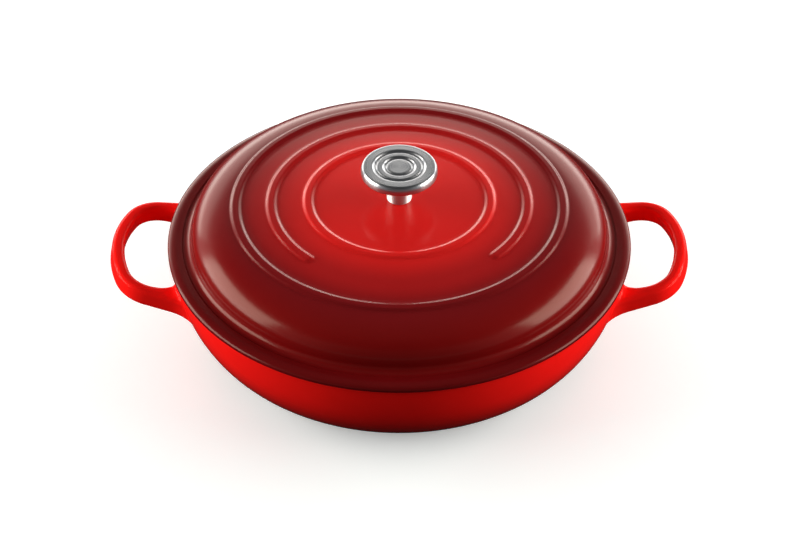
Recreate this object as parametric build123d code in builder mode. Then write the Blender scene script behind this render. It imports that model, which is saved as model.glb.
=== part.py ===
from build123d import *
from math import cos, hypot, radians, sin, sqrt, tan
import os

os.makedirs("parts", exist_ok=True)

# Round braiser of enamelled cast iron: a shallow pot with two loop handles cast on,
# a domed lid with raised rings, and a steel knob held by a screw from below.
# Millimetres, +Z up, +X along the handles. The origin is the middle of the base, on the table.

# Driving dimensions of the pot
rim_radius = 151.0
pot_height = 64.3
base_radius = 109.6
pot_wall = 4.0
base_wall = 4.5
rim_rounding = 1.2

# Loop handles, drawn in a plane that climbs outwards from the pot.
# The drop is from the rim to the plane. The loop's arcs are shares of its projection,
# and the gap's flares are a share of the largest that touch both the wall and a straight arm.
handle_projection = 41.3
handle_drop = 16.5
handle_climb_angle = 11.6
handle_depth = 12.8
handle_bar = 8.65
handle_rounding_share = 0.4625
tip_arc_angle = 23.5
arm_splay_angle = 10.6
gap_splay_angle = 1.0
tip_arc_share = 2.01
corner_arc_share = 0.666
outer_flare_share = 0.63
inner_flare_share = 0.95
flare_sink = 0.3
root_blend = 4.0

# Lid casting, with heights from the rim's seat and insets from the lid's edge
lid_overhang = 2.6
lid_wall = 3.8
flange_thickness = 4.5
flange_edge_height = 1.7
flange_crest_width = 3.6
flange_lower_rounding = 1.0
groove_inset = 11.4
groove_depth = 0.7
dome_inset = 15.0
dome_foot_height = 7.8
shoulder_inset = 41.6
crown_height = 32.2
crown_radius = 1580.0
skirt_depth = 3.6
skirt_clearance = 1.6
skirt_width = 3.4
skirt_rounding = 0.8
shoulder_bulge_share = 0.5523

# Raised rings on the lid, counted inwards from the shoulder, the middle one open towards the front
outer_ring_inset = 4.5
middle_ring_pitch = 23.4
inner_ring_pitch = 24.3
ring_width = 7.4
ring_height = 1.7
ring_rounding = 0.8
ring_opening_angle = 90.0
ring_opening_turn = 1.7

# Knob
knob_radius = 25.0
knob_height = 26.1
knob_edge = 4.3
knob_under_rounding = 2.6
knob_top_rounding = 0.5
stem_foot_radius = 8.2
stem_top_radius = 9.0
stem_flare_radius = 3.0
dish_radius = 16.4
dish_centre_radius = 9.9
dish_step = 0.8
dish_bevel = 0.8

# Screw and washer under the lid
screw_radius = 3.0
screw_engagement = 12.0
bore_spare_depth = 2.0
screw_head_radius = 6.0
screw_head_height = 3.2
screw_head_edge = 1.2
screw_slot_width = 1.6
screw_slot_depth = 1.4
thread_clearance = 0.05
hole_clearance = 0.4
washer_radius = 8.5
washer_thickness = 1.2

# Sizes that follow from the driving ones
overrun = rim_radius
seat_height = pot_height
pot_inner_radius = rim_radius - pot_wall
lid_radius = rim_radius + lid_overhang
groove_radius = lid_radius - groove_inset
dome_radius = lid_radius - dome_inset
shoulder_radius = lid_radius - shoulder_inset
crown_top = seat_height + crown_height
lid_underside_top = crown_top - lid_wall
clearance_hole_radius = screw_radius + hole_clearance


def crown_drop(radius):
    """How far the lid's crown, part of a large sphere, falls from its middle to a radius."""
    return crown_radius - sqrt(crown_radius**2 - radius**2)


def bowl_section(radius_limit, floor_height, corner_radius):
    """Half section of a bowl: a flat floor and a quarter ellipse up to the rim."""
    with BuildSketch(Plane.XY) as section:
        with BuildLine():
            floor = Line((0, floor_height), (corner_radius, floor_height))
            rise = pot_height - floor_height
            run = radius_limit - corner_radius
            centre = (corner_radius, pot_height)
            side = EllipticalCenterArc(centre, run, rise, start_angle=-90, arc_size=90)
            mouth = Line(side @ 1, (0, pot_height))
            Line(mouth @ 1, floor @ 0)
        make_face()
    return section.sketch


def outside_radius(height):
    """Radius of the pot's outside at a height."""
    return base_radius + (rim_radius - base_radius) * sqrt(1 - (1 - height / pot_height) ** 2)


# One loop handle, with flares where its arms run into the pot
climb = radians(handle_climb_angle)
tip_turn = radians(tip_arc_angle)
handle_height = pot_height - handle_drop
handle_plane = Plane(
    origin=(rim_radius, 0, handle_height),
    x_dir=(cos(climb), 0, sin(climb)),
    z_dir=(-sin(climb), 0, cos(climb)),
)
loop_tip = handle_projection / cos(climb)
pot_axis_place = -rim_radius / cos(climb)
tip_arc_radius = tip_arc_share * handle_projection
corner_arc_radius = corner_arc_share * handle_projection
outer_flare_radius = outer_flare_share * handle_projection
loop_half_width = tip_arc_radius * sin(tip_turn) + corner_arc_radius * (1 - sin(tip_turn))
root_half_width = loop_half_width + outer_flare_radius

# The flares start just inside the wall, at the lowest and farthest place where a root meets it
root_trim = sqrt(pot_inner_radius**2 - root_half_width**2)
root_low_height = handle_height - (rim_radius - root_trim) * tan(climb) - handle_depth / 2 / cos(climb)
flare_start_radius = outside_radius(root_low_height) - flare_sink
arm_length = rim_radius + handle_projection - root_trim

# The gap inside the loop, whose flares run from its straight arms to the circle on which they start
gap_tip_radius = tip_arc_radius - handle_bar
gap_corner_radius = corner_arc_radius - handle_bar
gap_half_width = gap_tip_radius * sin(tip_turn) + gap_corner_radius * (1 - sin(tip_turn))
gap_depth = loop_tip - handle_bar - gap_tip_radius * (1 - cos(tip_turn)) - gap_corner_radius * cos(tip_turn)
gap_corner_distance = hypot(rim_radius + gap_depth * cos(climb), gap_half_width)
largest_flare = (gap_corner_distance**2 - flare_start_radius**2) / (gap_half_width + flare_start_radius) / 2
inner_flare_radius = inner_flare_share * largest_flare
handle_rounding = handle_rounding_share * handle_bar


def loop_outline(inset, splay_angle):
    """Outline of the loop, moved inwards by the inset: a wide arc, two corners and two splayed arms."""
    corner_arc_angle = 90 - splay_angle - tip_arc_angle
    with BuildSketch(Plane.XY) as outline:
        with BuildLine():
            tip = JernArc((loop_tip - inset, 0), (0, 1), tip_arc_radius - inset, tip_arc_angle)
            corner = JernArc(tip @ 1, tip % 1, corner_arc_radius - inset, corner_arc_angle)
            arm = PolarLine(corner @ 1, arm_length, direction=corner % 1)
            end = Line(arm @ 1, ((arm @ 1).X, 0))
            Line(end @ 1, tip @ 0)
        make_face()
        mirror(about=Plane.XZ)
    return outline.sketch


def distance_from_flare_start(corner):
    """How far a corner of the plan lies from the circle on which the flares start."""
    return abs(hypot((corner.X - pot_axis_place) * cos(climb), corner.Y) - flare_start_radius)


def root_corners(plan):
    """Corners where the arms run into the pot, the gap's pair first."""
    near_wall = [
        corner
        for corner in plan.vertices()
        if abs(corner.Y) > handle_bar and distance_from_flare_start(corner) < flare_sink / 2
    ]
    return sorted(near_wall, key=lambda corner: abs(corner.Y))


with BuildPart() as loop:
    with BuildSketch(handle_plane) as loop_plan:
        add(loop_outline(0, arm_splay_angle))
        add(loop_outline(handle_bar, gap_splay_angle), mode=Mode.SUBTRACT)
        with Locations((pot_axis_place, 0)):
            Ellipse(flare_start_radius / cos(climb), flare_start_radius)
        fillet(root_corners(loop_plan)[:2], radius=inner_flare_radius)
        fillet(root_corners(loop_plan)[-2:], radius=outer_flare_radius)
    extrude(amount=handle_depth / 2, both=True)
    broad_faces = loop.faces().filter_by(
        lambda face: face.normal_at().cross(handle_plane.z_dir).length < sin(climb) / 2
    )
    fillet(broad_faces.edges(), radius=handle_rounding)
    with BuildSketch(Plane.YZ.offset(root_trim)):
        Rectangle(2 * overrun, 2 * overrun)
    extrude(amount=overrun, mode=Mode.INTERSECT)

# Pot: the bowl with its two loops, then the cavity cut through everything inside the wall
with BuildPart() as pot:
    with BuildSketch(Plane.XZ):
        add(bowl_section(rim_radius, 0, base_radius))
    revolve(axis=Axis.Z)
    add([loop.part, mirror(loop.part, about=Plane.YZ, mode=Mode.PRIVATE)])
    fillet(pot.edges(Select.NEW), radius=root_blend)
    with BuildSketch(Plane.XZ):
        add(bowl_section(pot_inner_radius, base_wall, base_radius))
    revolve(axis=Axis.Z, mode=Mode.SUBTRACT)
    rim_face = pot.faces().filter_by(Axis.Z).sort_by(Axis.Z)[-1]
    fillet(rim_face.edges(), radius=rim_rounding)
pot.part.label = "pot"
export_step(pot.part, "parts/pot.step")


def crown_point(radius, lift):
    """Point of the lid's section at a radius, lifted off the crown."""
    return (radius, crown_top - crown_drop(radius) + lift)


def crown_arc(lift):
    """The lid's crown from the middle to its shoulder, lifted by a height."""
    return ThreePointArc(
        crown_point(0, lift),
        crown_point(shoulder_radius / 2, lift),
        crown_point(shoulder_radius, lift),
    )


def height_over_crown(point):
    """How far a point lies above the lid's crown."""
    return point.Z - crown_point(hypot(point.X, point.Y), 0)[1]


# Lid: a revolved casting with a crown, a shoulder, a groove, a flange and a skirt inside the pot's mouth
flange_top = seat_height + flange_thickness
groove_floor = flange_top - groove_depth
dome_foot = seat_height + dome_foot_height
crest_radius = lid_radius - flange_edge_height - flange_crest_width
skirt_outer_radius = pot_inner_radius - skirt_clearance
skirt_inner_radius = skirt_outer_radius - skirt_width
shoulder_run = dome_radius - shoulder_radius
crown_slope = shoulder_radius / crown_radius

# Raised rings: plan shapes carried up to a surface parallel to the crown
ring_half = ring_width / 2
outer_ring_radius = shoulder_radius - outer_ring_inset
middle_ring_radius = outer_ring_radius - middle_ring_pitch
inner_ring_radius = middle_ring_radius - inner_ring_pitch
ring_start = -90 + ring_opening_turn + ring_opening_angle / 2
with BuildPart() as rings:
    with BuildSketch(Plane.XY.offset(seat_height)):
        Circle(outer_ring_radius + ring_half)
        Circle(outer_ring_radius - ring_half, mode=Mode.SUBTRACT)
        with BuildLine():
            bead_path = CenterArc((0, 0), middle_ring_radius, ring_start, 360 - ring_opening_angle)
        SlotArc(bead_path, ring_width)
        Circle(inner_ring_radius + ring_half)
        Circle(inner_ring_radius - ring_half, mode=Mode.SUBTRACT)
    extrude(amount=crown_height + ring_height)
    with BuildSketch(Plane.XZ):
        with BuildLine():
            top_arc = crown_arc(ring_height)
            root_arc = crown_arc(-lid_wall / 2)
            Line(top_arc @ 0, root_arc @ 0)
            Line(top_arc @ 1, root_arc @ 1)
        make_face()
    revolve(axis=Axis.Z, mode=Mode.INTERSECT)
    top_edges = [
        edge
        for edge in rings.edges()
        if min(height_over_crown(edge @ 0), height_over_crown(edge @ 1)) > ring_height / 2
    ]
    fillet(top_edges, radius=ring_rounding)

with BuildPart() as lid:
    with BuildSketch(Plane.XZ):
        with BuildLine():
            crown = crown_arc(0)
            shoulder_drop = (crown @ 1).Y - dome_foot
            reach_out = shoulder_bulge_share * shoulder_run
            reach_up = shoulder_bulge_share * shoulder_drop
            shoulder = Bezier(
                crown @ 1,
                (shoulder_radius + reach_out, (crown @ 1).Y - reach_out * crown_slope),
                (dome_radius, dome_foot + reach_up),
                (dome_radius, dome_foot),
            )
            foot_drop = dome_foot - groove_floor
            foot_run = groove_radius - dome_radius
            foot = Bezier(
                shoulder @ 1,
                (dome_radius, dome_foot - shoulder_bulge_share * foot_drop),
                (groove_radius - shoulder_bulge_share * foot_run, groove_floor),
                (groove_radius, groove_floor),
            )
            crest_run = crest_radius - groove_radius
            crest = Bezier(
                foot @ 1,
                (groove_radius + crest_run / 2, groove_floor),
                (crest_radius - crest_run / 2, flange_top),
                (crest_radius, flange_top),
            )
            roll = EllipticalCenterArc(
                (crest_radius, seat_height + flange_edge_height),
                lid_radius - crest_radius,
                flange_thickness - flange_edge_height,
                start_angle=0,
                arc_size=90,
            )
            edge = Line((lid_radius, seat_height), roll @ 0)
            seat = Line((skirt_outer_radius, seat_height), edge @ 0)
            skirt_out = Line((skirt_outer_radius, seat_height - skirt_depth), seat @ 0)
            skirt_end = Line((skirt_inner_radius, seat_height - skirt_depth), skirt_out @ 0)
            under_crown = crown_arc(-lid_wall)
            inner_run = dome_radius - lid_wall - shoulder_radius
            inner_drop = (under_crown @ 1).Y - dome_foot
            inner_out = shoulder_bulge_share * inner_run
            inner_up = shoulder_bulge_share * inner_drop
            under_shoulder = Bezier(
                under_crown @ 1,
                (shoulder_radius + inner_out, (under_crown @ 1).Y - inner_out * crown_slope),
                (dome_radius - lid_wall, dome_foot + inner_up),
                (dome_radius - lid_wall, dome_foot),
            )
            Line(under_shoulder @ 1, skirt_end @ 0)
            Line(under_crown @ 0, crown @ 0)
        make_face()
    revolve(axis=Axis.Z)
    skirt_edges = lid.edges().filter_by(GeomType.CIRCLE).group_by(Axis.Z)[0]
    fillet(skirt_edges, radius=skirt_rounding)
    round_edges = lid.edges().filter_by(GeomType.CIRCLE)
    flange_edges = round_edges.filter_by(lambda rim: abs(rim.radius - lid_radius) < lid_overhang / 2)
    fillet(flange_edges.sort_by(Axis.Z)[0], radius=flange_lower_rounding)
    add(rings.part)
    fillet(lid.edges(Select.NEW), radius=ring_rounding)
    with Locations((0, 0, crown_top)):
        Hole(clearance_hole_radius, depth=2 * lid_wall)
lid.part.label = "lid"
export_step(lid.part, "parts/lid.step")

# Knob: a turned stem under a wide disc, with a stepped dish on top and a blind bore from below
knob_top = crown_top + knob_height
rim_bottom = knob_top - knob_edge
disc_underside = rim_bottom - knob_under_rounding
stem_lean_height = disc_underside - stem_flare_radius
dish_floor = knob_top - dish_step
centre_floor = dish_floor - dish_step

with BuildPart() as knob:
    with BuildSketch(Plane.XZ):
        with BuildLine():
            stem = Line((stem_foot_radius, crown_top), (stem_top_radius, stem_lean_height))
            flare_end = (stem_top_radius + stem_flare_radius, disc_underside)
            flare = TangentArc(stem @ 1, flare_end, tangent=stem % 1)
            under = Line(flare @ 1, (knob_radius - knob_under_rounding, disc_underside))
            under_edge = TangentArc(under @ 1, (knob_radius, rim_bottom), tangent=under % 1)
            rim = Line(under_edge @ 1, (knob_radius, knob_top))
            dish_line = Polyline(
                rim @ 1,
                (dish_radius, knob_top),
                (dish_radius - dish_bevel, dish_floor),
                (dish_centre_radius, dish_floor),
                (dish_centre_radius - dish_bevel, centre_floor),
                (0, centre_floor),
                (0, crown_top),
                stem @ 0,
            )
        make_face()
    revolve(axis=Axis.Z)
    top_rim = knob.edges().filter_by(GeomType.CIRCLE).group_by(Axis.Z)[-1].sort_by(SortBy.RADIUS)[-1]
    fillet(top_rim, radius=knob_top_rounding)
    bore_depth = screw_engagement + bore_spare_depth
    with Locations(Location((0, 0, crown_top), (180, 0, 0))):
        Hole(screw_radius + thread_clearance, depth=bore_depth)
knob.part.label = "knob"
export_step(knob.part, "parts/knob.step")

# Washer against the lid's underside
washer_top = lid_underside_top - crown_drop(washer_radius)
washer_bottom = washer_top - washer_thickness
with BuildPart() as washer:
    with BuildSketch(Plane.XY.offset(washer_bottom)):
        Circle(washer_radius)
        Circle(clearance_hole_radius, mode=Mode.SUBTRACT)
    extrude(amount=washer_thickness)
washer.part.label = "washer"
export_step(washer.part, "parts/washer.step")

# Screw: a slotted pan head under the washer and a shank up into the knob
screw_tip = crown_top + screw_engagement
head_bottom = washer_bottom - screw_head_height
with BuildPart() as knob_screw:
    with BuildSketch(Plane.XY.offset(washer_bottom)):
        Circle(screw_radius)
    extrude(amount=screw_tip - washer_bottom)
    with BuildSketch(Plane.XZ):
        with BuildLine():
            edge_bottom = washer_bottom - screw_head_edge
            head_side = Line((screw_head_radius, washer_bottom), (screw_head_radius, edge_bottom))
            dome_rise = screw_head_height - screw_head_edge
            head_dome = EllipticalCenterArc(
                (0, edge_bottom), screw_head_radius, dome_rise, start_angle=-90, arc_size=90
            )
            Polyline(head_dome @ 0, (0, washer_bottom), head_side @ 0)
        make_face()
    revolve(axis=Axis.Z)
    with BuildSketch(Plane.XY.offset(head_bottom)):
        Rectangle(3 * screw_head_radius, screw_slot_width)
    extrude(amount=screw_slot_depth, mode=Mode.SUBTRACT)
knob_screw.part.label = "knob_screw"
export_step(knob_screw.part, "parts/knob_screw.step")
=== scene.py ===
"""Round braiser of red enamelled cast iron, dressed around the packed CAD part."""

import bpy
import numpy as np
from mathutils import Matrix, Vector


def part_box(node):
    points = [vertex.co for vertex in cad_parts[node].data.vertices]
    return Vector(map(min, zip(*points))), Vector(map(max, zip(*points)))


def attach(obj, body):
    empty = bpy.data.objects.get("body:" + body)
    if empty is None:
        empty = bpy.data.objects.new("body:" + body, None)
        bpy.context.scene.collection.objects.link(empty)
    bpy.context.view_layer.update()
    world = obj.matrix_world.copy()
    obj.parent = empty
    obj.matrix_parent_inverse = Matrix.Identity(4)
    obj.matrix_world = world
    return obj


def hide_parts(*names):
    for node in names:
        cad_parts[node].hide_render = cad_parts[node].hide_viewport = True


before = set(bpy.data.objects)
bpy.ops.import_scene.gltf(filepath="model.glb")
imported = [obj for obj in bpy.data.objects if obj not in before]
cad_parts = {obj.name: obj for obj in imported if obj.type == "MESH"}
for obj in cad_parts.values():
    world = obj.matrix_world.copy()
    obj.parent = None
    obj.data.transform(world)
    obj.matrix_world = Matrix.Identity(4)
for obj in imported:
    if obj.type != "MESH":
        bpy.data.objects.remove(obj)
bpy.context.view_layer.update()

bl_info = {
    "name": "Round braiser",
    "version": (1, 0, 0),
    "blender": (4, 5, 0),
    "location": "View3D > Sidebar > Braiser",
    "description": "Builds an enamelled braiser with its lid, knob, handles and studio",
    "category": "Object",
}

SHARP_TURN = 25.0  # degrees
BOWL_COLUMNS = 512
LID_COLUMNS = 480
KNOB_COLUMNS = 256
FLOOR_COLUMNS = 64
RED, BLACK, CREAM = 0, 1, 2
SPUN, BRUSHED = 0, 1
WHITE = (1.0, 1.0, 1.0, 1.0)
WARM_SHEEN = (1.0, 0.84, 0.7, 1.0)
LAMP_COLOUR = (1.0, 0.94, 0.86)

_, pot_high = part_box("pot")
_, lid_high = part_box("lid")
knob_low, knob_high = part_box("knob")


def length(name, description, default):
    """A length in metres, as a property."""
    return bpy.props.FloatProperty(
        name=name, description=description, default=default, min=0.0, unit="LENGTH", precision=5
    )


def angle(name, description, degrees):
    """An angle as a property, with its default given in degrees."""
    return bpy.props.FloatProperty(
        name=name, description=description, default=float(np.radians(degrees)), subtype="ANGLE"
    )


def number(name, description, default):
    """A plain number as a property."""
    return bpy.props.FloatProperty(name=name, description=description, default=default)


def share(name, description, default):
    """A number between nothing and one as a property."""
    return bpy.props.FloatProperty(
        name=name, description=description, default=default, min=0.0, max=1.0, subtype="FACTOR"
    )


def colour(name, description, default):
    """A linear colour as a property."""
    return bpy.props.FloatVectorProperty(
        name=name, description=description, default=default, min=0.0, max=1.0, subtype="COLOR"
    )


class PotSizes(bpy.types.PropertyGroup):
    """Sizes of the cast bowl."""

    rim_radius: length("Rim radius", "Outside radius of the bowl at its rim", 0.151)
    height: length("Height", "Height of the rim above the table", pot_high.z)
    base_radius: length("Base radius", "Radius of the flat base", 0.1096)
    wall: length("Wall", "Thickness of the side at the rim", 0.004)
    base_wall: length("Base wall", "Thickness of the floor", 0.0045)
    rim_rounding: length("Rim rounding", "Radius along both edges of the rim", 0.0012)


class HandleSizes(bpy.types.PropertyGroup):
    """Sizes of the two loop handles."""

    projection: length("Projection", "Reach of a loop past the rim", 0.0413)
    drop: length("Drop", "Height of the rim above the loop's plane at the rim's radius", 0.0165)
    climb: angle("Climb", "Slope of the loop's plane, up and outwards", 11.6)
    depth: length("Depth", "Thickness of the loop across its plane", 0.0128)
    bar: length("Bar", "Width of the bar in its plane", 0.00865)
    rounding: length("Rounding", "Radius along the bar's long edges", 0.0032)
    tip_radius: length("Tip radius", "Radius of the wide arc at the tip", 0.083)
    tip_angle: angle("Tip angle", "Half the turn of the wide arc", 23.5)
    corner_radius: length("Corner radius", "Outside radius of the two corners", 0.0275)
    arm_splay: angle("Arm splay", "Slant of the arms' outer sides", 10.6)
    gap_splay: angle("Gap splay", "Slant of the arms' inner sides", 1.0)
    outer_flare: length("Outer flare", "Radius where an arm's outer side meets the bowl", 0.026)
    inner_flare: length("Inner flare", "Radius where an arm's inner side meets the bowl", 0.0154)
    flare_start: length("Flare start", "Radius of the circle that the flares touch", 0.14652)
    root_blend: length("Root blend", "Radius between the loop and the bowl", 0.004)


class LidSizes(bpy.types.PropertyGroup):
    """Sizes of the lid's casting."""

    radius: length("Radius", "Outside radius of the flange", lid_high.x)
    wall: length("Wall", "Thickness of the crown", 0.0038)
    flange_thickness: length("Flange thickness", "Height of the flange at its crest", 0.0045)
    flange_edge: length("Flange edge", "Height of the upright edge below the roll", 0.0017)
    crest_width: length("Crest width", "Width of the roll from its crest to the edge", 0.0036)
    ridge_inset: length("Ridge inset", "Distance of the ridge by the groove from the edge", 0.0091)
    ridge_drop: length("Ridge drop", "Drop of the ridge below the roll's crest", 0.0002)
    lower_rounding: length("Lower rounding", "Radius along the flange's lower edge", 0.001)
    groove_inset: length("Groove inset", "Distance of the groove's outer side from the edge", 0.0107)
    groove_width: length("Groove width", "Width of the groove's flat floor", 0.0008)
    groove_depth: length("Groove depth", "Depth of the groove below the crest", 0.0009)
    dome_inset: length("Dome inset", "Distance of the dome's foot from the edge", 0.0157)
    dome_foot: length("Dome foot", "Height of the dome's foot above the rim", 0.0078)
    shoulder_inset: length("Shoulder inset", "Distance of the shoulder from the edge", 0.0416)
    crown_height: length("Crown height", "Height of the crown above the rim", 0.0322)
    crown_radius: length("Crown radius", "Radius of the sphere that the crown is part of", 1.58)
    bulge: share("Bulge", "Reach of the curves' handles in the section", 0.5523)
    skirt_depth: length("Skirt depth", "Reach of the skirt into the bowl", 0.0036)
    skirt_radius: length("Skirt radius", "Outside radius of the skirt", 0.1454)
    skirt_width: length("Skirt width", "Thickness of the skirt", 0.0034)
    skirt_rounding: length("Skirt rounding", "Radius along the skirt's lower edges", 0.0008)
    hole_radius: length("Hole radius", "Radius of the hole for the screw", 0.0034)


class RingSizes(bpy.types.PropertyGroup):
    """Sizes of the raised rings on the lid."""

    outer_radius: length("Outer ring", "Radius of the outer ring's middle line", 0.1075)
    middle_radius: length("Middle ring", "Radius of the open ring's middle line", 0.0841)
    inner_radius: length("Inner ring", "Radius of the inner ring's middle line", 0.0598)
    height: length("Ring height", "Height of a ring above the crown", 0.0015)
    foot: length("Ring foot", "Half the width of a ring at its foot", 0.0044)
    flat: length("Ring flat", "Half the width of a ring's flat top", 0.0014)
    opening: angle("Opening", "Angle left open in the middle ring", 90.0)
    opening_turn: angle("Opening turn", "Turn of the opening away from the front", 1.7)


class KnobSizes(bpy.types.PropertyGroup):
    """Sizes of the turned knob."""

    radius: length("Radius", "Radius of the disc", knob_high.x)
    height: length("Height", "Height of the knob above the crown", knob_high.z - knob_low.z)
    edge: length("Edge", "Height of the disc's edge", 0.005)
    edge_foot: length("Edge foot", "Height of the upright part of the edge", 0.001)
    under_rounding: length("Under rounding", "Radius along the disc's lower edge", 0.0019)
    top_rounding: length("Top rounding", "Width of the disc's rounded upper edge", 0.0021)
    stem_foot: length("Stem foot", "Radius of the stem on the lid", 0.0082)
    stem_top: length("Stem top", "Radius of the stem below the disc", 0.009)
    stem_flare: length("Stem flare", "Radius between the stem and the disc", 0.003)
    outer_cove: length("Outer cove", "Middle radius of the outer turned cove", 0.0159)
    inner_cove: length("Inner cove", "Middle radius of the inner turned cove", 0.0094)
    cove_half: length("Cove half", "Half the width of a cove", 0.0018)
    cove_depth: length("Cove depth", "Depth of a cove", 0.001)
    step: length("Step", "Drop of the face at each cove", 0.0003)
    bore_radius: length("Bore radius", "Radius of the threaded bore", 0.00305)
    bore_depth: length("Bore depth", "Depth of the threaded bore", 0.014)


class Finishes(bpy.types.PropertyGroup):
    """Colours of the enamels and metals, linear, with a painted shade towards the bowl's base."""

    pot_red: colour("Pot red", "Enamel of the bowl and its handles", (0.98, 0.01, 0.008))
    # Painted shade: the darker colour towards the base stands partly for the enamel's graded colour and
    # partly for the shade on the bowl's low, downward-facing side.
    pot_base_and_painted_shade: colour("Pot shade", "Enamel towards the base", (0.25, 0.003, 0.003))
    lid_middle: colour("Lid middle", "Enamel in the middle of the lid", (0.68, 0.013, 0.012))
    lid_turn: colour("Lid turn", "Enamel between the rings", (0.37, 0.008, 0.009))
    lid_edge: colour("Lid edge", "Enamel by the outer ring", (0.165, 0.005, 0.007))
    lid_dome: colour("Lid dome", "Enamel down the dome's side", (0.2, 0.004, 0.004))
    lid_flange: colour("Lid flange", "Enamel of the flange", (0.13, 0.003, 0.004))
    cream: colour("Cream", "Enamel inside", (0.72, 0.64, 0.5))
    bare_black: colour("Bare black", "Thin dull coat on the rim and the seat", (0.02, 0.018, 0.017))
    steel: colour("Steel", "Spun stainless steel", (0.5, 0.515, 0.54))
    stem_steel: colour("Stem steel", "Brushed stainless steel of the stem", (0.8, 0.79, 0.78))


class StudioSettings(bpy.types.PropertyGroup):
    """The floor and the camera."""

    floor_radius: length("Floor radius", "Radius of the round floor", 1.25)
    floor_tone: share("Floor tone", "Lightness of the floor as the camera sees it", 0.97)
    floor_bounce: share("Floor bounce", "Share of light that the floor sends back", 0.12)
    floor_glow: share("Floor glow", "White that the camera sees on the floor by the object", 0.31)
    floor_mirror: share("Floor mirror", "White that reflections see on the far floor", 1.0)
    view_distance: length("View distance", "Distance of the camera from its target", 1.3)
    view_elevation: angle("View elevation", "Angle of the camera above the table", 38.27)
    focal_length: number("Focal length", "Focal length of the lens in millimetres", 87.77)
    lens_shift_x: number("Side shift", "Sideways shift of the lens, in picture widths", 0.0009)
    lens_shift_y: number("Lens shift", "Upright shift of the lens, in picture widths", -0.0379)


def run(start, end, count):
    """Straight run from start to end; the points crowd towards both ends, as (1 - cos) / 2."""
    along = (1 - np.cos(np.linspace(0, np.pi, count))) / 2
    return np.asarray(start) + (np.asarray(end) - np.asarray(start)) * along[:, None]


def arc(centre, radii, start, end, count):
    """Arc of an ellipse: centre + (radius_r cos t, radius_z sin t), t in degrees from start to end."""
    turn = np.radians(np.linspace(start, end, count))
    return np.asarray(centre) + np.stack([radii[0] * np.cos(turn), radii[1] * np.sin(turn)], axis=1)


def bezier(first, second, third, fourth, count):
    """Cubic curve through its first and fourth points, pulled by the second and third."""
    along = np.linspace(0, 1, count)[:, None]
    back = 1 - along
    points = [np.asarray(point) for point in (first, second, third, fourth)]
    weights = (back**3, 3 * back**2 * along, 3 * back * along**2, along**3)
    return sum(weight * point for weight, point in zip(weights, points))


def chain(parts):
    """Joins runs of a profile, each with its material slot, and leaves out the repeated points."""
    points = np.concatenate([part if i == 0 else part[1:] for i, (part, _) in enumerate(parts)])
    counts = [len(part) - 1 for part, _ in parts]
    return points, np.repeat([slot for _, slot in parts], counts)


def corners(profile, loop):
    """Which points of a profile turn by more than SHARP_TURN degrees, so their ring is shaded sharp."""
    before = np.roll(profile, 1, axis=0)
    after = np.roll(profile, -1, axis=0)
    into = profile - before
    out = after - profile
    cosine = (into * out).sum(1) / (np.linalg.norm(into, axis=1) * np.linalg.norm(out, axis=1) + 1e-12)
    sharp = cosine < np.cos(np.radians(SHARP_TURN))
    if not loop:
        sharp[[0, -1]] = False
    return sharp


def around(profile, columns):
    """Surface of revolution: (r cos a, r sin a, z) for each profile point and each equal angle a."""
    turn = np.arange(columns) * 2 * np.pi / columns
    radius = profile[:, 0][:, None]
    height = np.broadcast_to(profile[:, 1][:, None], (len(profile), columns))
    return np.stack([radius * np.cos(turn), radius * np.sin(turn), height], axis=-1)


def ring_quads(rows, columns, loop=False):
    """Four-sided faces between neighbouring rows of a grid whose columns close into rings."""
    row = np.arange(rows if loop else rows - 1)[:, None]
    column = np.arange(columns)[None, :]
    next_row = (row + 1) % rows * columns
    next_column = (column + 1) % columns
    here = row * columns
    quads = [here + column, here + next_column, next_row + next_column, next_row + column]
    return np.stack(quads, axis=-1).reshape(-1, 4)


def fan(pole, ring_start, columns, flip):
    """Three-sided faces between a pole and the ring that starts at a vertex."""
    column = np.arange(columns)
    first = ring_start + column
    second = ring_start + (column + 1) % columns
    if flip:
        first, second = second, first
    return np.stack([np.full(columns, pole), first, second], axis=-1)


def enclosed(points, faces):
    """Signed volume inside a closed surface: a sixth of the sum of a . (b x c) over its triangles."""
    total = 0.0
    for corner in range(1, faces.shape[1] - 1):
        a, b, c = (points[faces[:, i]] for i in (0, corner, corner + 1))
        total += np.einsum("ij,ij->", a, np.cross(b, c)) / 6
    return total


def solid(name, grid, slots, materials, loop=False, poles=None, sharp=None):
    """Closed mesh over a grid of rings, as a loop of rows or closed by a pole at each end."""
    rows, columns = grid.shape[:2]
    points = grid.reshape(-1, 3)
    quads = ring_quads(rows, columns, loop)
    quad_slots = np.repeat(slots, columns)
    triangles = np.empty((0, 3), int)
    triangle_slots = np.empty(0, int)
    if poles is not None:
        first_pole = len(points)
        points = np.concatenate([points, np.asarray(poles)])
        start = fan(first_pole, 0, columns, flip=True)
        end = fan(first_pole + 1, (rows - 1) * columns, columns, flip=False)
        triangles = np.concatenate([start, end])
        triangle_slots = np.repeat([slots[0], slots[-1]], columns)
    if enclosed(points, quads) + enclosed(points, triangles) < 0:
        quads = quads[:, ::-1]
        triangles = triangles[:, ::-1]
    mesh = bpy.data.meshes.new(name)
    mesh.from_pydata(points.tolist(), [], quads.tolist() + triangles.tolist())
    mesh.polygons.foreach_set("material_index", np.concatenate([quad_slots, triangle_slots]))
    mesh.polygons.foreach_set("use_smooth", np.ones(len(mesh.polygons), bool))
    if sharp is not None:
        ends = np.empty(len(mesh.edges) * 2, np.int32)
        mesh.edges.foreach_get("vertices", ends)
        on_ring = np.zeros(len(points), bool)
        on_ring[: rows * columns] = np.repeat(sharp, columns)
        flags = mesh.attributes.new("sharp_edge", "BOOLEAN", "EDGE")
        flags.data.foreach_set("value", on_ring[ends].reshape(-1, 2).all(axis=1))
    for material in materials:
        mesh.materials.append(material)
    mesh.update()
    piece = bpy.data.objects.new(name, mesh)
    bpy.context.scene.collection.objects.link(piece)
    return piece


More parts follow.
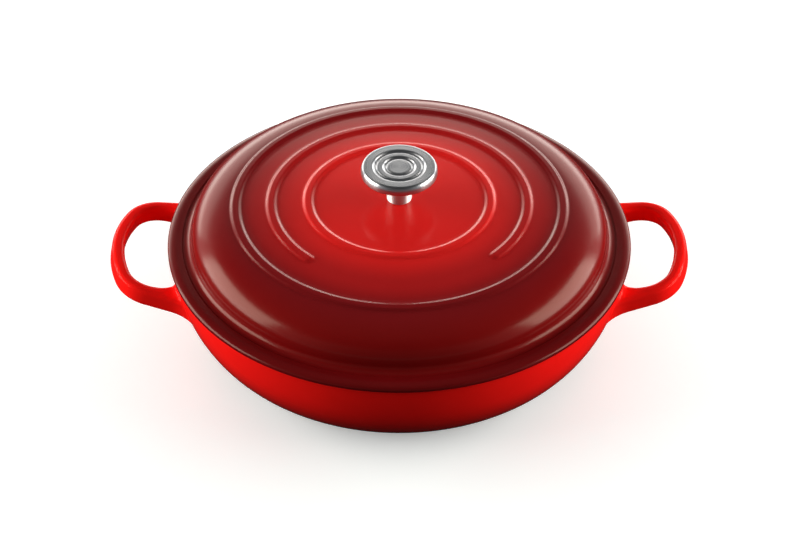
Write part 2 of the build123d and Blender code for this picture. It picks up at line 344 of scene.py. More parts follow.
def revolve(name, profile, slots, materials, columns):
    """Closed mesh turned about the upright axis, from a profile that starts and ends on it."""
    poles = [[0, 0, profile[0, 1]], [0, 0, profile[-1, 1]]]
    grid = around(profile[1:-1], columns)
    return solid(name, grid, slots[1:-1], materials, poles=poles, sharp=corners(profile, False)[1:-1])


def bowl_outside(sizes):
    """Centre and half widths, in radius and height, of the quarter ellipse of the bowl's side."""
    centre = (sizes.base_radius, sizes.height)
    return centre, (sizes.rim_radius - sizes.base_radius, sizes.height)


def to_wall(points, sizes):
    """Nearest point of the bowl's outside to each point, the normal there and the distance.

    Newton steps on t, with the ellipse's point at base + a cos t and rim height - b sin t.
    """
    (centre_r, centre_z), (half_r, half_z) = bowl_outside(sizes)
    radius = np.hypot(points[..., 0], points[..., 1])
    aside = radius - centre_r
    below = centre_z - points[..., 2]
    turn = np.arctan2(below / half_z, aside / half_r)
    newton_steps = 6
    for _ in range(newton_steps):
        x, y = half_r * np.cos(turn), half_z * np.sin(turn)
        dx, dy = -half_r * np.sin(turn), half_z * np.cos(turn)
        slope = (x - aside) * dx + (y - below) * dy
        bend = dx**2 + dy**2 - (x - aside) * x - (y - below) * y
        turn = turn - slope / bend
    x, y = half_r * np.cos(turn), half_z * np.sin(turn)
    normal_r, normal_down = np.cos(turn) / half_r, np.sin(turn) / half_z
    size = np.hypot(normal_r, normal_down)
    normal_r, normal_down = normal_r / size, normal_down / size
    distance = (aside - x) * normal_r + (below - y) * normal_down
    along = points[..., :2] / radius[..., None]
    wall_r = centre_r + x
    nearest = np.stack([wall_r * along[..., 0], wall_r * along[..., 1], centre_z - y], axis=-1)
    normal = np.stack([normal_r * along[..., 0], normal_r * along[..., 1], -normal_down], axis=-1)
    return nearest, normal, distance


def right_of(heading):
    """Unit vector to the right of a heading in the loop's plane: (sin h, -cos h)."""
    return np.stack([np.sin(heading), -np.cos(heading)], axis=-1)


def flare_centre(loop, rim_radius, arm_start, arm_heading, radius, side):
    """Centre and last heading of the arc that touches a straight arm and the flares' circle.

    The upright cylinder of the circle cuts the loop's plane in an ellipse. The arc's centre lies one
    radius outside it, and the place is taken where it is one radius from the arm too.
    """
    samples = 4001
    turn = np.linspace(0, np.pi / 2, samples)
    half_x, half_y = loop.flare_start / np.cos(loop.climb), loop.flare_start
    edge = np.stack([half_x * np.cos(turn) - rim_radius / np.cos(loop.climb), half_y * np.sin(turn)], -1)
    normal = np.stack([np.cos(turn) / half_x, np.sin(turn) / half_y], axis=-1)
    normal /= np.linalg.norm(normal, axis=1)[:, None]
    centres = edge + radius * normal
    from_arm = (centres - arm_start) @ right_of(arm_heading) * side
    at = np.interp(radius, from_arm[::side], turn[::side])
    centre = np.array([np.interp(at, turn, centres[:, 0]), np.interp(at, turn, centres[:, 1])])
    out = np.array([np.interp(at, turn, normal[:, 0]), np.interp(at, turn, normal[:, 1])]) * side
    return centre, np.arctan2(out[0], -out[1]) % (2 * np.pi)


def outline(u, loop, rim_radius, side):
    """Points and outward normals of one outline of the loop in its plane, for u from 0 to 4.

    A step of 1 each goes to the tip's arc, the corner's arc, the straight arm and the flare.
    Side 1 is the outer outline, and side -1 is the inner one, a bar's width inwards.
    """
    inset = 0.0 if side > 0 else loop.bar
    splay = loop.arm_splay if side > 0 else loop.gap_splay
    flare = loop.outer_flare if side > 0 else loop.inner_flare
    reach = loop.projection / np.cos(loop.climb)
    tip_heading = np.pi / 2 + loop.tip_angle
    arm_heading = np.pi - splay
    tip_centre = np.array([reach - loop.tip_radius, 0.0])
    corner_centre = tip_centre + (loop.tip_radius - loop.corner_radius) * right_of(tip_heading)
    arm_start = corner_centre + (loop.corner_radius - inset) * right_of(arm_heading)
    centre, last_heading = flare_centre(loop, rim_radius, arm_start, arm_heading, flare, side)
    arm_end = centre - side * flare * right_of(arm_heading)
    parts = [np.clip(u - step, 0, 1) for step in range(4)]
    heading = np.pi / 2 + loop.tip_angle * parts[0]
    heading = heading + (arm_heading - tip_heading) * parts[1] + (last_heading - arm_heading) * parts[3]
    out = right_of(heading)
    arm = arm_start + (arm_end - arm_start) * parts[2][..., None]
    on_tip = tip_centre + (loop.tip_radius - inset) * out
    on_corner = corner_centre + (loop.corner_radius - inset) * out
    point = np.where(u[..., None] < 3, arm, centre - side * flare * out)
    point = np.where(u[..., None] < 2, on_corner, point)
    point = np.where(u[..., None] < 1, on_tip, point)
    return point, side * out


def bar_section():
    """Share across, roll and lift of the points round the bar: four quarter rounds and their flats.

    Share 0 is the outer side and 1 the inner one, roll is the normal's angle above the loop's plane,
    and lift is the side of the plane, 1 above and -1 below.
    """
    quarter = np.linspace(0, np.pi / 2, 9)
    flat = np.linspace(0, 1, 5)[1:-1]
    side = np.array([0.5, 0.0, -0.5])
    level = np.full_like(flat, np.pi / 2)
    outer, inner = np.zeros_like(quarter), np.ones_like(quarter)
    plain, far = np.zeros_like(side), np.ones_like(side)
    across = [outer, flat, inner, far, inner, flat[::-1], outer, plain]
    roll = [quarter, level, quarter[::-1], plain, -quarter, -level, -quarter[::-1], plain]
    above = np.ones(2 * len(quarter) + len(flat))
    lift = [above, side, -above, -side]
    return np.concatenate(across), np.concatenate(roll), np.concatenate(lift)


def bar_surface(u, loop, pot):
    """Points and normals of the bar at each u and each point of its section, in the row frame.

    The section's corners are quarter rounds about lines one rounding inside both outlines:
    line + rounding (cos roll outwards + sin roll upwards).
    """
    across, roll, lift = bar_section()
    outer, outer_out = outline(u, loop, pot.rim_radius, 1)
    inner, inner_out = outline(u, loop, pot.rim_radius, -1)
    across = across[None, :, None]
    line = (outer - loop.rounding * outer_out) * (1 - across)
    line = line + (inner - loop.rounding * inner_out) * across
    out = outer_out * (1 - across) + inner_out * across
    flat = out * np.cos(roll)[None, :, None]
    place = line + loop.rounding * flat
    up = np.broadcast_to(np.sin(roll), u.shape)
    height = lift * (loop.depth / 2 - loop.rounding) + loop.rounding * up
    cosine, sine = np.cos(loop.climb), np.sin(loop.climb)
    base = pot.height - loop.drop
    x = pot.rim_radius + place[..., 0] * cosine - height * sine
    z = base + place[..., 0] * sine + height * cosine
    normal_x = flat[..., 0] * cosine - up * sine
    normal_z = flat[..., 0] * sine + up * cosine
    points = np.stack([x, place[..., 1], z], axis=-1)
    return points, np.stack([normal_x, flat[..., 1], normal_z], axis=-1)


def loop_grid(loop, pot):
    """Rings of the whole loop, from inside the bowl's wall round to inside it again.

    A ball of the blend's radius rolls along the corner between bar and wall. Where its distance from
    the wall is its radius, the bar ends, and the ball's own arc leads over to the wall. The arc sinks
    a hair below the wall at its end, and the closed end is buried deeper, inside the wall.
    """
    samples = 241
    body_rings = 121
    sink_depth = 9e-6
    burial = 1.5e-3
    section = len(bar_section()[0])
    steps = np.broadcast_to(np.linspace(2, 4, samples)[:, None], (samples, section))
    points, normals = bar_surface(steps, loop, pot)
    room = to_wall(points + loop.root_blend * normals, pot)[2] - loop.root_blend
    after = np.argmax(room < 0, axis=0)
    column = np.arange(section)
    near, far = room[after - 1, column], room[after, column]
    root = steps[after - 1, column] + (near / (near - far)) * (steps[1, 0] - steps[0, 0])
    body, body_normals = bar_surface(root[None, :] * np.linspace(1, 0, body_rings)[:, None], loop, pot)
    ball = body[0] + loop.root_blend * body_normals[0]
    wall, wall_normal, _ = to_wall(ball, pot)
    blend = np.linspace(1, 0, 10)[:-1, None, None]
    direction = body_normals[0] * (1 - blend) + wall_normal * blend
    direction /= np.linalg.norm(direction, axis=-1)[..., None]
    sink = sink_depth * blend * wall_normal
    round_over = ball - loop.root_blend * direction - sink
    buried = wall - burial * wall_normal
    half = np.concatenate([buried[None], round_over, body])
    other = half[-2::-1] * np.array([1, -1, 1])
    return np.concatenate([half, other])


def ring_relief(radius, turn, rings):
    """Height of the raised rings over the crown: a smooth step of the distance from each middle line.

    The open ring's distance past its ends is measured to the end point, which rounds them.
    """
    centre = -np.pi / 2 + rings.opening_turn
    away = np.abs((turn - centre + np.pi) % (2 * np.pi) - np.pi)
    past = np.maximum(rings.opening / 2 - away, 0)
    middle = rings.middle_radius
    to_middle = np.sqrt(np.maximum(radius**2 + middle**2 - 2 * radius * middle * np.cos(past), 0))
    to_outer = np.abs(radius - rings.outer_radius)
    to_inner = np.abs(radius - rings.inner_radius)
    distance = np.minimum(np.minimum(to_outer, to_inner), to_middle)
    step = np.clip((rings.foot - distance) / (rings.foot - rings.flat), 0, 1)
    return rings.height * step * step * (3 - 2 * step)


def crown_height(radius, lid, rim_height):
    """Height of the lid's crown: part of a large sphere, crown top - (R - sqrt(R^2 - r^2))."""
    drop = lid.crown_radius - np.sqrt(lid.crown_radius**2 - radius**2)
    return rim_height + lid.crown_height - drop


def crown_radii(lid, rings):
    """Radii of the crown's rings, close together on the raised rings and wide between them."""
    clearance = 1.15 * rings.foot
    shoulder = lid.radius - lid.shoulder_inset
    plain = np.linspace(lid.hole_radius, shoulder, 36)
    middles = np.array([rings.inner_radius, rings.middle_radius, rings.outer_radius])
    clear = (np.abs(plain[:, None] - middles) > clearance).all(axis=1)
    close = middles[:, None] + np.linspace(-rings.foot, rings.foot, 19)
    ends = [lid.hole_radius, shoulder]
    radii = np.unique(np.round(np.concatenate([plain[clear], close.ravel(), ends]), 7))
    return radii[radii <= shoulder]


def lid_profile(lid, rings, seat):
    """Closed section of the lid, from the hole outwards over the top and back underneath.

    The last number of each run, arc and curve is its count of points.
    """
    outer = lid.radius
    shoulder = outer - lid.shoulder_inset
    dome = outer - lid.dome_inset
    groove = outer - lid.groove_inset
    crest = outer - lid.flange_edge - lid.crest_width
    top = seat + lid.flange_thickness
    foot = seat + lid.dome_foot
    floor = top - lid.groove_depth
    radii = crown_radii(lid, rings)
    crown = np.stack([radii, crown_height(radii, lid, seat)], axis=1)
    slope = shoulder / lid.crown_radius
    edge = crown[-1]
    out = lid.bulge * (dome - shoulder)
    up = lid.bulge * (edge[1] - foot)
    side = bezier(edge, (shoulder + out, edge[1] - out * slope), (dome, foot + up), (dome, foot), 24)
    inner = groove - lid.groove_width
    foot_pull = lid.bulge * (foot - floor)
    cove_pull = lid.bulge * (inner - dome)
    cove = bezier((dome, foot), (dome, foot - foot_pull), (inner - cove_pull, floor), (inner, floor), 9)
    channel = run((inner, floor), (groove, floor), 4)
    ridge = (outer - lid.ridge_inset, top - lid.ridge_drop)
    half = (ridge[0] - groove) / 2
    rise = bezier((groove, floor), (groove + half, floor), (ridge[0] - half, ridge[1]), ridge, 9)
    table = (crest - ridge[0]) / 3
    level = bezier(ridge, (ridge[0] + table, ridge[1]), (crest - table, top), (crest, top), 5)
    edge_top = seat + lid.flange_edge
    roll = arc((crest, edge_top), (outer - crest, top - seat - lid.flange_edge), 90, 0, 11)
    small = lid.lower_rounding
    lip = arc((outer - small, seat + small), (small, small), 0, -90, 6)
    skirt_in = lid.skirt_radius - lid.skirt_width
    low = seat - lid.skirt_depth
    bend = lid.skirt_rounding
    seat_run = run((outer - small, seat), (lid.skirt_radius, seat), 4)
    skirt_out = run((lid.skirt_radius, seat), (lid.skirt_radius, low + bend), 4)
    skirt_turn = arc((lid.skirt_radius - bend, low + bend), (bend, bend), 0, -90, 5)
    skirt_back = arc((skirt_in + bend, low + bend), (bend, bend), -90, -180, 5)
    hollow = dome - lid.wall
    under_edge = np.array([shoulder, edge[1] - lid.wall])
    in_out = lid.bulge * (hollow - shoulder)
    in_up = lid.bulge * (under_edge[1] - foot)
    rise_in = run((skirt_in, low + bend), (hollow, foot), 5)
    above = (shoulder + in_out, under_edge[1] - in_out * slope)
    under_side = bezier((hollow, foot), (hollow, foot + in_up), above, under_edge, 14)
    under_radii = np.linspace(shoulder, lid.hole_radius, 14)
    under = np.stack([under_radii, crown_height(under_radii, lid, seat) - lid.wall], axis=1)
    hole = run(under[-1], crown[0], 4)
    lip_run = run((outer, edge_top), (outer, seat + small), 3)
    skirt_end = run(skirt_turn[-1], skirt_back[0], 3)
    outside = (crown, side, cove, channel, rise, level, roll, lip_run, lip)
    bare = (seat_run, skirt_out, skirt_turn)
    inside = (skirt_end, skirt_back, rise_in, under_side, under, hole)
    parts = [(part, RED) for part in outside] + [(part, BLACK) for part in bare]
    parts += [(part, CREAM) for part in inside]
    profile, slots = chain(parts)
    return profile[:-1], slots, len(radii)


def knob_profile(knob, crown_top):
    """Section of the knob, from the bore's end down, round the stem and disc and over the coved face."""
    top = crown_top + knob.height
    lower = top - knob.edge
    under = lower - knob.under_rounding
    bore = knob.bore_radius
    bore_top = crown_top + knob.bore_depth
    chamfer = bore / 8
    bend = knob.stem_flare
    stem_end = np.array([knob.stem_top, under - bend])
    small = knob.top_rounding
    face_inset = 1.15 * small
    under_turn = knob.under_rounding
    outer, inner, half = knob.outer_cove, knob.inner_cove, knob.cove_half

    def face(radius):
        """Height of the knob's face, which steps down through each cove; a cove is a smooth hollow."""
        height = np.full_like(radius, top)
        for middle in (outer, inner):
            across = (radius - middle) / half
            step = np.clip((1 - across) / 2, 0, 1)
            hollow = np.clip(1 - across**2, 0, 1) ** 2
            height = height - knob.step * step * step * (3 - 2 * step) - knob.cove_depth * hollow
        return height

    close = np.linspace(-half, half, 15)[-2::-1]
    outer_flat = np.linspace(knob.radius - face_inset, outer + half, 8)
    middle_flat = np.linspace(outer - half, inner + half, 7)[1:]
    inner_flat = np.linspace(inner - half, 0, 9)[1:]
    face_radii = np.concatenate([outer_flat, outer + close, middle_flat, inner + close, inner_flat])
    face_points = np.stack([face_radii, face(face_radii)], axis=1)
    flare = arc((knob.stem_top + bend, under - bend), (bend, bend), 180, 90, 9)
    edge_arc = arc((knob.radius - under_turn, lower), (under_turn, under_turn), -90, 0, 11)
    bulge = knob.edge - knob.edge_foot
    top_arc = arc((knob.radius - small, top - bulge), (small, bulge), 0, 84, 13)
    rim_edge = run(top_arc[-1], face_points[0], 3)
    foot = (knob.stem_foot - chamfer, crown_top)
    parts = [
        run((0, bore_top), (bore, bore_top), 3),
        run((bore, bore_top), (bore, crown_top), 4),
        run((bore, crown_top), foot, 4),
        run(foot, (knob.stem_foot, crown_top + chamfer), 3),
        run((knob.stem_foot, crown_top + chamfer), stem_end, 12),
        flare,
        run(flare[-1], edge_arc[0], 8),
        edge_arc,
        run(edge_arc[-1], top_arc[0], 6),
        top_arc,
        rim_edge,
        face_points,
    ]
    stem_parts = range(3, 6)
    return chain([(part, BRUSHED if i in stem_parts else SPUN) for i, part in enumerate(parts)])


def node_tree(name):
    """New material and its node tree, emptied."""
    material = bpy.data.materials.new(name)
    material.use_nodes = True
    tree = material.node_tree
    tree.nodes.clear()
    return material, tree


def add(tree, kind, inputs=None, **settings):
    """Adds a node, sets its properties and fills its inputs with values or other nodes' outputs."""
    node = tree.nodes.new("ShaderNode" + kind)
    for key, value in settings.items():
        setattr(node, key, value)
    for key, value in (inputs or {}).items():
        if isinstance(value, bpy.types.NodeSocket):
            tree.links.new(value, node.inputs[key])
        else:
            node.inputs[key].default_value = value
    return node


def math(tree, operation, first, second=0.0):
    """Output of a Math node."""
    return add(tree, "Math", {0: first, 1: second}, operation=operation).outputs[0]


def noise(tree, place, scale, detail):
    """Output of a noise texture over the given coordinates."""
    return add(tree, "TexNoise", {"Vector": place, "Scale": scale, "Detail": detail}).outputs["Fac"]


def remap(tree, value, low, high, start=0.0, end=1.0):
    """A value with its range from start to end turned into one from low to high."""
    return add(tree, "MapRange", {0: value, 1: start, 2: end, 3: low, 4: high}).outputs[0]


def coordinates(tree):
    """Object coordinates, their distance from the upright axis, and their height."""
    place = add(tree, "TexCoord").outputs["Object"]
    split = add(tree, "SeparateXYZ", {0: place})
    x, y, z = split.outputs
    square = math(tree, "ADD", math(tree, "MULTIPLY", x, x), math(tree, "MULTIPLY", y, y))
    return place, math(tree, "SQRT", square), z


def ramp(tree, factor, stops):
    """Colour ramp with its stops given as (place, linear colour)."""
    node = add(tree, "ValToRGB", {0: factor})
    elements = node.color_ramp.elements
    while len(elements) < len(stops):
        elements.new(0.5)
    for element, (place, tint) in zip(elements, stops):
        element.position = place
        element.color = (*tint[:3], 1.0)
    node.color_ramp.interpolation = "EASE"
    return node.outputs["Color"]


def mottled(tree, place, tint, scale, amount):
    """A colour with soft mottling: the tint times 1 +- the amount, by fine noise."""
    factor = math(tree, "MULTIPLY_ADD", noise(tree, place, scale, 3.0), 2 * amount)
    factor.node.inputs[2].default_value = 1 - amount
    mixed = add(tree, "VectorMath", {0: tint}, operation="SCALE")
    tree.links.new(factor, mixed.inputs["Scale"])
    return mixed.outputs[0]


def relief(tree, height, strength, distance):
    """Normal of a bumpy surface, from a height between nothing and one."""
    inputs = {"Height": height, "Strength": strength, "Distance": distance}
    return add(tree, "Bump", inputs).outputs[0]


def principled(material, tree, inputs):
    """The material, with a Principled shader of the given inputs as its surface."""
    shader = add(tree, "BsdfPrincipled", inputs)
    add(tree, "OutputMaterial", {0: shader.outputs[0]})
    return material


def enamel(name, tint_of, roughness, ior, facing, peel):
    """Glassy enamel: a mottled colour, a gloss that varies a little and a fired coat's faint waves.

    Facing is the strength of its reflections seen head on, and peel that of the waves.
    """
    material, tree = node_tree(name)
    place, radius, height = coordinates(tree)
    tint = mottled(tree, place, tint_of(tree, place, radius, height), 55.0, 0.05)
    gloss = remap(tree, noise(tree, place, 240.0, 2.0), roughness * 0.85, roughness * 1.2)
    waves = noise(tree, place, 85.0, 1.0)
    inputs = {"Base Color": tint, "Roughness": gloss, "IOR": ior}
    inputs["Specular IOR Level"] = facing
    inputs["Specular Tint"] = WARM_SHEEN
    inputs["Normal"] = relief(tree, waves, peel, 0.0006)
    return principled(material, tree, inputs)


def dull_coat(name, tint):
    """Thin dull black coat on bare iron, rough and finely pitted."""
    material, tree = node_tree(name)
    place = add(tree, "TexCoord").outputs["Object"]
    pits = noise(tree, place, 900.0, 4.0)
    tone = ramp(tree, pits, [(0.3, tint), (0.75, [2.2 * part for part in tint[:3]])])
    inputs = {"Base Color": tone, "Roughness": 0.62, "Normal": relief(tree, pits, 0.3, 0.0002)}
    return principled(material, tree, inputs)


def spun_steel(name, tint, roughness, anisotropy):
    """Turned steel: fine grooves in circles about the axis, in the gloss, the tone and the relief."""
    material, tree = node_tree(name)
    _, radius, height = coordinates(tree)
    grooves_per_metre = 5200.0
    across = math(tree, "MULTIPLY", radius, grooves_per_metre)
    upwards = math(tree, "MULTIPLY", height, grooves_per_metre)
    rings = add(tree, "CombineXYZ", {0: across, 1: upwards}).outputs[0]
    grooves = noise(tree, rings, 1.0, 4.0)
    tone = ramp(tree, grooves, [(0.3, [0.86 * part for part in tint[:3]]), (0.7, tint)])
    gloss = remap(tree, grooves, roughness * 0.75, roughness * 1.3)
    tangent = add(tree, "Tangent", direction_type="RADIAL", axis="Z").outputs[0]
    inputs = {"Base Color": tone, "Metallic": 1.0, "Roughness": gloss, "Tangent": tangent}
    inputs["Anisotropic"] = anisotropy
    inputs["Anisotropic Rotation"] = 0.25
    inputs["Normal"] = relief(tree, grooves, 0.12, 0.00004)
    return principled(material, tree, inputs)


def pot_enamel(name, finish, rim_height):
    """Red enamel of the bowl and handles, darker towards the base: partly the enamel's graded colour,
    partly painted shade.
    """

    def tint(tree, _place, _radius, height):
        level = math(tree, "DIVIDE", height, rim_height)
        # Painted shade: the ramp darkens the red towards the base, partly as the enamel's graded colour
        # and partly as shade on the low side.
        return ramp(tree, level, [(0.08, finish.pot_base_and_painted_shade), (0.7, finish.pot_red)])

    return enamel(name, tint, roughness=0.12, ior=1.3, facing=0.12, peel=0.04)


def lid_enamel(name, finish, radius_limit):
    """Red enamel of the lid: bright in the middle and dark cherry outside the rings."""

    def tint(tree, _place, radius, _height):
        outwards = math(tree, "DIVIDE", radius, radius_limit)
        stops = [(0.38, finish.lid_middle), (0.56, finish.lid_turn), (0.72, finish.lid_edge)]
        stops += [(0.87, finish.lid_dome), (0.96, finish.lid_flange)]
        return ramp(tree, outwards, stops)

    return enamel(name, tint, roughness=0.19, ior=1.4, facing=0.28, peel=0.03)


def cream_enamel(name, finish):
    """Cream enamel inside the bowl and under the lid, with fine darker spots."""

    def tint(tree, place, _radius, _height):
        spots = noise(tree, place, 700.0, 2.0)
        dark = [0.82 * part for part in finish.cream[:3]]
        return ramp(tree, spots, [(0.3, dark), (0.42, finish.cream)])

    return enamel(name, tint, roughness=0.2, ior=1.45, facing=0.5, peel=0.05)


def shared(maker, name, *arguments):
    """The material of that name, made on its first use."""
    return bpy.data.materials.get(name) or maker(name, *arguments)


class BRAISER_OT_bowl(bpy.types.Operator):
    """Makes the bowl: a flat base and a side that rises as a quarter ellipse"""

    bl_idname = "braiser.bowl"
    bl_label = "Bowl"

    def execute(self, context):
        pot = context.scene.braiser_pot
        finish = context.scene.braiser_finish
        centre, halves = bowl_outside(pot)
        turn = pot.rim_rounding
        inner = pot.rim_radius - pot.wall
        low = pot.height - turn
        side = arc(centre, halves, -90, 0, 88)
        side = side[side[:, 1] < low]
        outer_turn = arc((pot.rim_radius - turn, low), (turn, turn), 0, 90, 7)
        inner_turn = arc((inner + turn, low), (turn, turn), 90, 180, 7)
        hollow_halves = (inner - pot.base_radius, pot.height - pot.base_wall)
        hollow = arc(centre, hollow_halves, 0, -90, 48)
        hollow = hollow[hollow[:, 1] < low]
        parts = [
            (run((0, 0), side[0], 12), RED),
            (side, RED),
            (np.stack([side[-1], outer_turn[0]]), RED),
            (outer_turn, BLACK),
            (run(outer_turn[-1], inner_turn[0], 3), BLACK),
            (inner_turn, BLACK),
            (np.stack([inner_turn[-1], hollow[0]]), CREAM),
            (hollow, CREAM),
            (run(hollow[-1], (0, pot.base_wall), 12), CREAM),
        ]
        profile, slots = chain(parts)
        materials = [
            shared(pot_enamel, "red_enamel_pot", finish, pot.height),
            shared(dull_coat, "dull_black_coat", finish.bare_black),
            shared(cream_enamel, "cream_enamel", finish),
        ]
        piece = revolve("pot_body", profile, slots, materials, BOWL_COLUMNS)
        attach(piece, "pot")
        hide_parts("pot")
        return {"FINISHED"}


class BRAISER_OT_handles(bpy.types.Operator):
    """Makes the two loop handles with their flares and root blends"""

    bl_idname = "braiser.handles"
    bl_label = "Loop handles"

    def execute(self, context):
        pot = context.scene.braiser_pot
        loop = context.scene.braiser_handle
        material = shared(pot_enamel, "red_enamel_pot", context.scene.braiser_finish, pot.height)
        grid = loop_grid(loop, pot)
        rows = len(grid)
        sharp = np.zeros(rows, bool)
        sharp[[0, 1, -2, -1]] = True
        slots = np.zeros(rows - 1, int)
        for name, flip in (("handle_right", 1), ("handle_left", -1)):
            turned = grid * np.array([flip, 1, 1])
            poles = [turned[0].mean(axis=0), turned[-1].mean(axis=0)]
            piece = solid(name, turned, slots, [material], poles=poles, sharp=sharp)
            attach(piece, "pot")
            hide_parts("pot")
        return {"FINISHED"}


class BRAISER_OT_lid(bpy.types.Operator):
    """Makes the lid: crown, three raised rings, shoulder, groove, flange and skirt"""

    bl_idname = "braiser.lid"
    bl_label = "Lid"

    def execute(self, context):
        lid = context.scene.braiser_lid
        rings = context.scene.braiser_rings
        finish = context.scene.braiser_finish
        profile, slots, crown_rows = lid_profile(lid, rings, context.scene.braiser_pot.height)
        grid = around(profile, LID_COLUMNS)
        crown = grid[:crown_rows]
        radius = np.hypot(crown[..., 0], crown[..., 1])
        turn = np.arctan2(crown[..., 1], crown[..., 0])
        crown[..., 2] += ring_relief(radius, turn, rings)
        materials = [
            shared(lid_enamel, "red_enamel_lid", finish, lid.radius),
            shared(dull_coat, "dull_black_coat", finish.bare_black),
            shared(cream_enamel, "cream_enamel", finish),
        ]
        piece = solid("lid_shell", grid, slots, materials, loop=True, sharp=corners(profile, True))
        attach(piece, "lid")
        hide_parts("lid")
        return {"FINISHED"}


class BRAISER_OT_knob(bpy.types.Operator):
    """Makes the turned steel knob"""

    bl_idname = "braiser.knob"
    bl_label = "Knob"

    def execute(self, context):
        knob = context.scene.braiser_knob
        finish = context.scene.braiser_finish
        steel = spun_steel("spun_steel", finish.steel, roughness=0.27, anisotropy=0.75)
        stem = spun_steel("brushed_steel", finish.stem_steel, roughness=0.5, anisotropy=0.9)
        profile, slots = knob_profile(knob, knob_low.z)
        piece = revolve("knob_turned", profile, slots, [steel, stem], KNOB_COLUMNS)
        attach(piece, "lid")
        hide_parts("knob")
        return {"FINISHED"}


class BRAISER_OT_fastening(bpy.types.Operator):
    """Gives the screw and washer under the lid their steel"""

    bl_idname = "braiser.fastening"
    bl_label = "Screw and washer"

    def execute(self, context):
        finish = context.scene.braiser_finish
        steel = spun_steel("plain_steel", finish.steel, roughness=0.3, anisotropy=0.2)
        for name in ("knob_screw", "washer"):
            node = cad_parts[name]
            if not node.material_slots:
                raise RuntimeError(f"the packed {name} has no material slot")
            for place in node.material_slots:
                place.material = steel
        return {"FINISHED"}


def seen_by(tree):
    """Whether a ray comes from the camera, and whether it is a reflection or goes through glass."""
    path = add(tree, "LightPath").outputs
    shiny = math(tree, "MAXIMUM", path["Is Glossy Ray"], path["Is Transmission Ray"])
    return path["Is Camera Ray"], shiny


def white_floor(studio):
    """Pale floor that glows white to the camera and in far reflections, and keeps the shadow."""
    material, tree = node_tree("pale_floor")
    place, radius, _ = coordinates(tree)
    camera, mirror = seen_by(tree)
    mirror_loss, red_share, green_share = 0.8, 0.875, 0.97
    kept = math(tree, "SUBTRACT", 1.0, math(tree, "MULTIPLY", mirror, mirror_loss))
    tone = remap(tree, camera, studio.floor_bounce, studio.floor_tone)
    tone = math(tree, "MULTIPLY", tone, kept)
    red = math(tree, "MULTIPLY", tone, red_share)
    green = math(tree, "MULTIPLY", tone, green_share)
    grey = add(tree, "CombineColor", {0: red, 1: green, 2: tone}).outputs[0]
    diffuse = add(tree, "BsdfDiffuse", {"Color": mottled(tree, place, grey, 3.0, 0.01)})
    mirror = math(tree, "MULTIPLY", mirror, remap(tree, radius, 0.01, 1.0, start=0.5, end=1.6))
    glow = remap(tree, radius, studio.floor_glow, 1.0, start=0.45, end=1.15)
    glow = math(tree, "MULTIPLY", camera, glow)
    seen = math(tree, "MULTIPLY_ADD", mirror, studio.floor_mirror)
    tree.links.new(glow, seen.node.inputs[2])
    emission = add(tree, "Emission", {"Color": WHITE, "Strength": seen})
    both = add(tree, "AddShader", {0: diffuse.outputs[0], 1: emission.outputs[0]})
    add(tree, "OutputMaterial", {0: both.outputs[0]})
    return material


def studio_world():
    """World: white to the camera, bright near the horizon in reflections, and a weak soft light.

    The reflections and the light are dimmer on the side where the camera stands.
    """
    world = bpy.data.worlds.new("studio")
    bpy.context.scene.world = world
    world.use_nodes = True
    tree = world.node_tree
    tree.nodes.clear()
    direction = add(tree, "TexCoord").outputs["Generated"]
    _, depth, height = add(tree, "SeparateXYZ", {0: direction}).outputs
    tones = ((0.0, 1.0), (0.42, 0.9), (0.55, 0.25), (0.68, 0.06), (1.0, 0.12))
    greys = ramp(tree, height, [(place, (tone,) * 3) for place, tone in tones])
    behind = remap(tree, depth, 0.12, 1.0, start=-0.9, end=-0.2)
    mirror = add(tree, "Background", {"Color": greys, "Strength": behind})
    frontal = remap(tree, depth, 0.06, 0.25, start=-1.0, end=0.3)
    soft = add(tree, "Background", {"Color": WHITE, "Strength": frontal})
    white = add(tree, "Background", {"Color": WHITE, "Strength": 1.0})
    camera, shiny = seen_by(tree)
    first = add(tree, "MixShader", {0: shiny, 1: soft.outputs[0], 2: mirror.outputs[0]})
    second = add(tree, "MixShader", {0: camera, 1: first.outputs[0], 2: white.outputs[0]})
    add(tree, "OutputWorld", {0: second.outputs[0]})


def softbox(name, place, target, width, height, power):
    """Soft rectangular lamp at a place, turned towards a target."""
    data = bpy.data.lights.new(name, "AREA")
    data.shape = "RECTANGLE"
    data.size = width
    data.size_y = height
    data.energy = power
    data.color = LAMP_COLOUR
    lamp = bpy.data.objects.new(name, data)
    lamp.location = place
    lamp.rotation_euler = (lamp.location - Vector(target)).to_track_quat("Z", "Y").to_euler()
    lamp.visible_camera = False
    bpy.context.scene.collection.objects.link(lamp)


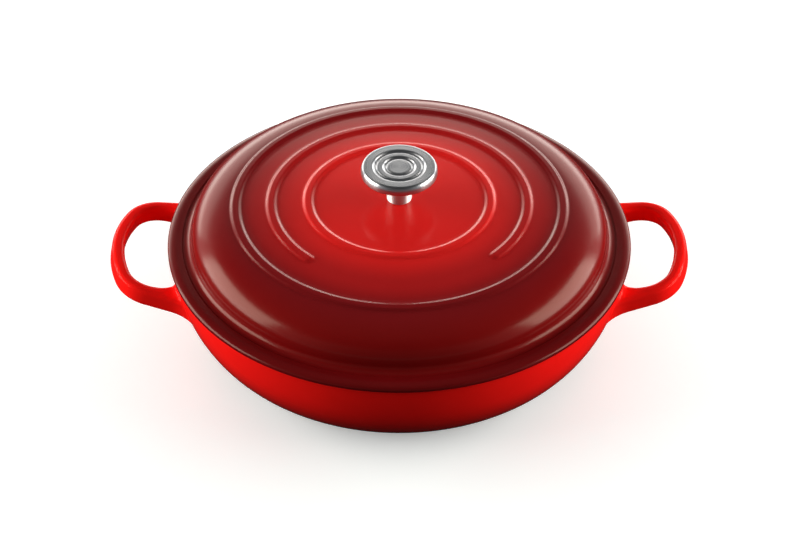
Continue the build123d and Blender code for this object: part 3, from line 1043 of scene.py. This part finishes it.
class BRAISER_OT_studio(bpy.types.Operator):
    """Makes the floor, the lamps, the world and the camera"""

    bl_idname = "braiser.studio"
    bl_label = "Studio"

    def execute(self, context):
        studio = context.scene.braiser_studio
        gap = 0.0002
        thickness = 0.01
        radii = np.linspace(0.2, 1.0, 5) * studio.floor_radius
        top = around(np.stack([radii, np.full_like(radii, -gap)], axis=1), FLOOR_COLUMNS)
        under = top[::-1] - np.array([0, 0, thickness])
        grid = np.concatenate([top, under])
        slots = np.zeros(len(grid) - 1, int)
        poles = [[0, 0, -gap], [0, 0, -gap - thickness]]
        floor = solid("floor", grid, slots, [white_floor(studio)], poles=poles)
        studio_world()
        middle = (0, 0, 0.06)
        softbox("lamp_left", (-1.25, 0.0, 0.42), middle, width=1.2, height=0.8, power=23.0)
        softbox("lamp_right", (1.25, 0.0, 0.42), middle, width=1.2, height=0.8, power=23.0)
        softbox("lamp_behind", (0.0, 2.0, 0.66), (0, 0, 0.66), width=5.0, height=1.1, power=36.0)
        softbox("lamp_low", (0.0, 1.9, 0.3), (0, 0, 0.3), width=4.5, height=0.4, power=16.0)
        data = bpy.data.cameras.new("camera")
        data.sensor_width = 36.0
        data.lens = studio.focal_length
        data.shift_x = studio.lens_shift_x
        data.shift_y = studio.lens_shift_y
        camera = bpy.data.objects.new("camera", data)
        elevation = studio.view_elevation
        away = np.array([0, -np.cos(elevation), np.sin(elevation)]) * studio.view_distance
        camera.location = away + np.array([0, 0, context.scene.braiser_pot.height])
        camera.rotation_euler = (np.pi / 2 - elevation, 0, 0)
        context.scene.collection.objects.link(camera)
        context.scene.camera = camera
        context.scene.view_settings.view_transform = "Standard"
        return {"FINISHED"}


GROUPS = {
    "braiser_pot": PotSizes,
    "braiser_handle": HandleSizes,
    "braiser_lid": LidSizes,
    "braiser_rings": RingSizes,
    "braiser_knob": KnobSizes,
    "braiser_finish": Finishes,
    "braiser_studio": StudioSettings,
}
STEPS = (
    BRAISER_OT_bowl,
    BRAISER_OT_handles,
    BRAISER_OT_lid,
    BRAISER_OT_knob,
    BRAISER_OT_fastening,
    BRAISER_OT_studio,
)


class BRAISER_PT_panel(bpy.types.Panel):
    """Lists the braiser's pieces and sizes in the 3D view's sidebar"""

    bl_idname = "BRAISER_PT_panel"
    bl_label = "Braiser"
    bl_space_type = "VIEW_3D"
    bl_region_type = "UI"
    bl_category = "Braiser"

    def draw(self, context):
        layout = self.layout
        for step in STEPS:
            layout.operator(step.bl_idname)
        for name, group in GROUPS.items():
            box = layout.box()
            box.label(text=group.__doc__)
            for field in group.__annotations__:
                box.prop(getattr(context.scene, name), field)


def register():
    """Registers the property groups, the operators and the panel."""
    for name, group in GROUPS.items():
        bpy.utils.register_class(group)
        setattr(bpy.types.Scene, name, bpy.props.PointerProperty(type=group))
    for step in (*STEPS, BRAISER_PT_panel):
        bpy.utils.register_class(step)


def unregister():
    """Takes back what register() did."""
    for step in reversed((*STEPS, BRAISER_PT_panel)):
        bpy.utils.unregister_class(step)
    for name, group in reversed(GROUPS.items()):
        delattr(bpy.types.Scene, name)
        bpy.utils.unregister_class(group)


def main():
    """Registers the add-on and builds every piece in order."""
    register()
    bpy.ops.braiser.bowl()
    bpy.ops.braiser.handles()
    bpy.ops.braiser.lid()
    bpy.ops.braiser.knob()
    bpy.ops.braiser.fastening()
    bpy.ops.braiser.studio()


if __name__ == "__main__":
    main()
